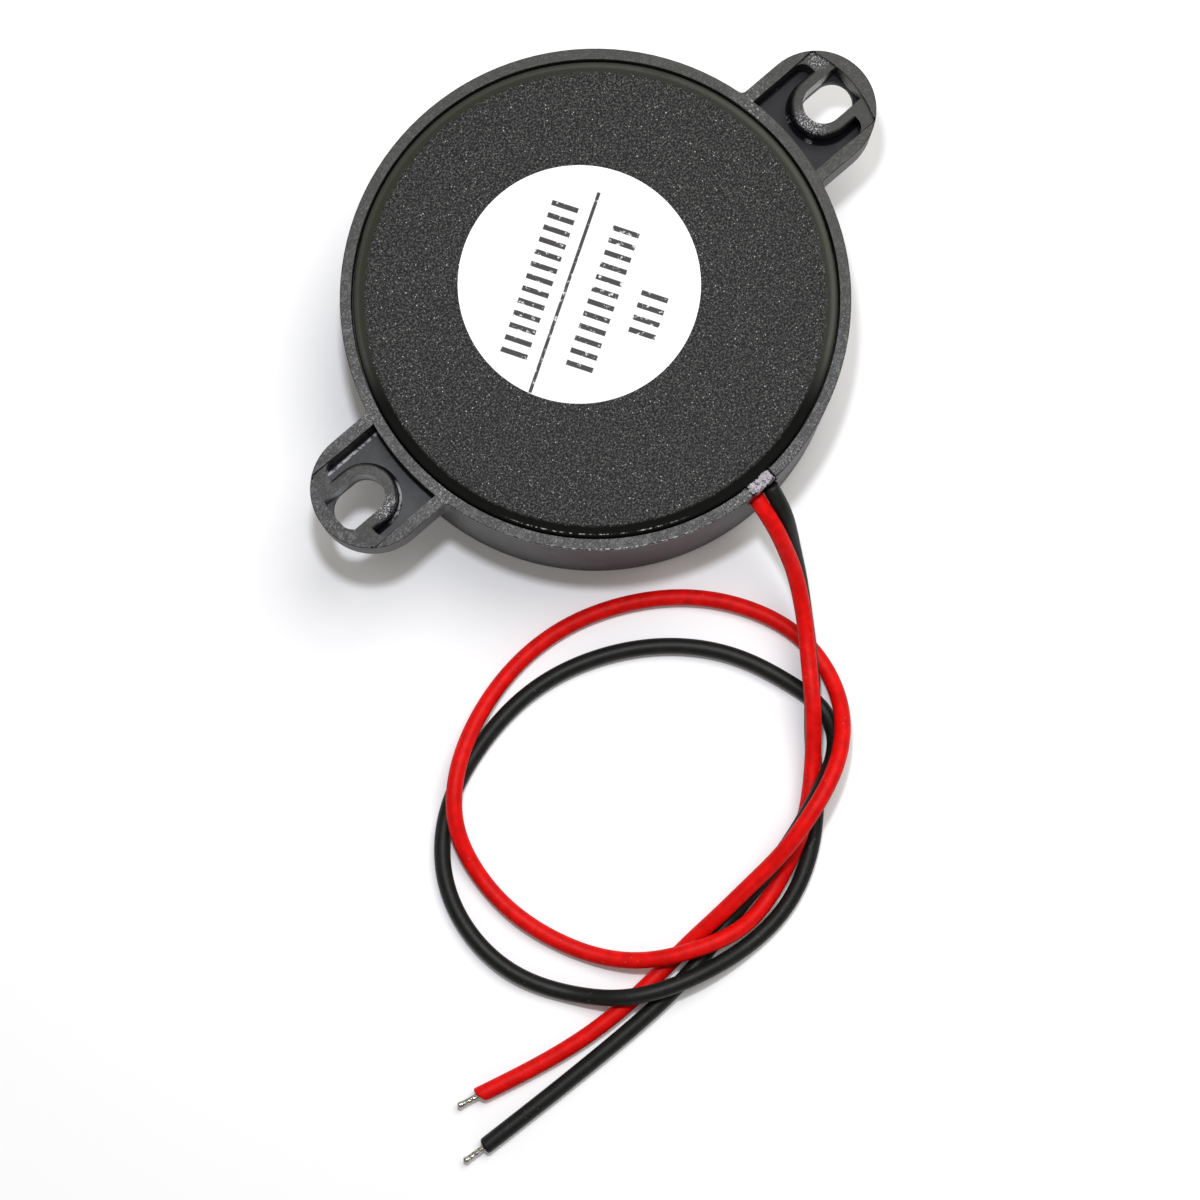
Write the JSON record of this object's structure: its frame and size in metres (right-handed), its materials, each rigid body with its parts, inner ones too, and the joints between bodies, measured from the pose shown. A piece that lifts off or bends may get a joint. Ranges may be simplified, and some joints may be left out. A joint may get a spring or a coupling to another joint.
{
  "type": "piezo buzzer",
  "caption": "Round self-driven piezo buzzer with slotted mounting ears, a pressed-in back cover and red and black free leads.",
  "frame": {"origin": "centre of the front face, on the plane that the buzzer lies on", "axes": "+Z from the front face with its sound hole to the back with its label, +X along the two ears, leads leave at -Y"},
  "size_m": [0.084, 0.07, 0.014],
  "materials": {
    "housing_plastic": "black moulded plastic, semi-gloss on its walls",
    "cover_plastic": "black moulded plastic with a fine spark-eroded texture and a smooth rounded edge",
    "label_paper": "white coated sticker",
    "adhesive": "soft silicone ring",
    "brass_disc": "rolled brass",
    "piezo_ceramic": "sintered ceramic",
    "silver": "fired silver print",
    "board": "green laminate",
    "transistor_plastic": "black moulding compound",
    "ferrite": "ground ferrite",
    "copper_wire": "enamelled copper wire",
    "resistor_body": "lacquered, with colour bands",
    "diode_body": "sealed body with one band",
    "thin_wire": "thin insulated wire",
    "solder": "smooth solder",
    "red_jacket": "glossy soft insulation",
    "black_jacket": "semi-gloss soft insulation",
    "tinned_wire": "tinned twisted strands"
  },
  "bodies": {
    "root": {"housing": "housing_plastic", "back_cover": "cover_plastic", "back_label": "label_paper", "disc_adhesive": "adhesive", "piezo_plate": "brass_disc", "piezo_ceramic": "piezo_ceramic", "drive_electrode": "silver", "feedback_electrode": "silver", "circuit_board": "board", "transistor": "transistor_plastic", "inductor_core": "ferrite", "inductor_winding": "copper_wire", "base_resistor": "resistor_body", "bias_resistor": "resistor_body", "diode": "diode_body", "plate_wire": "thin_wire", "drive_wire": "thin_wire", "feedback_wire": "thin_wire", "disc_solder": "solder", "board_solder": "solder", "red_tail": "red_jacket", "black_tail": "black_jacket", "red_lead": "red_jacket", "black_lead": "black_jacket", "red_tip": "tinned_wire", "black_tip": "tinned_wire"}
  },
  "joints": []
}
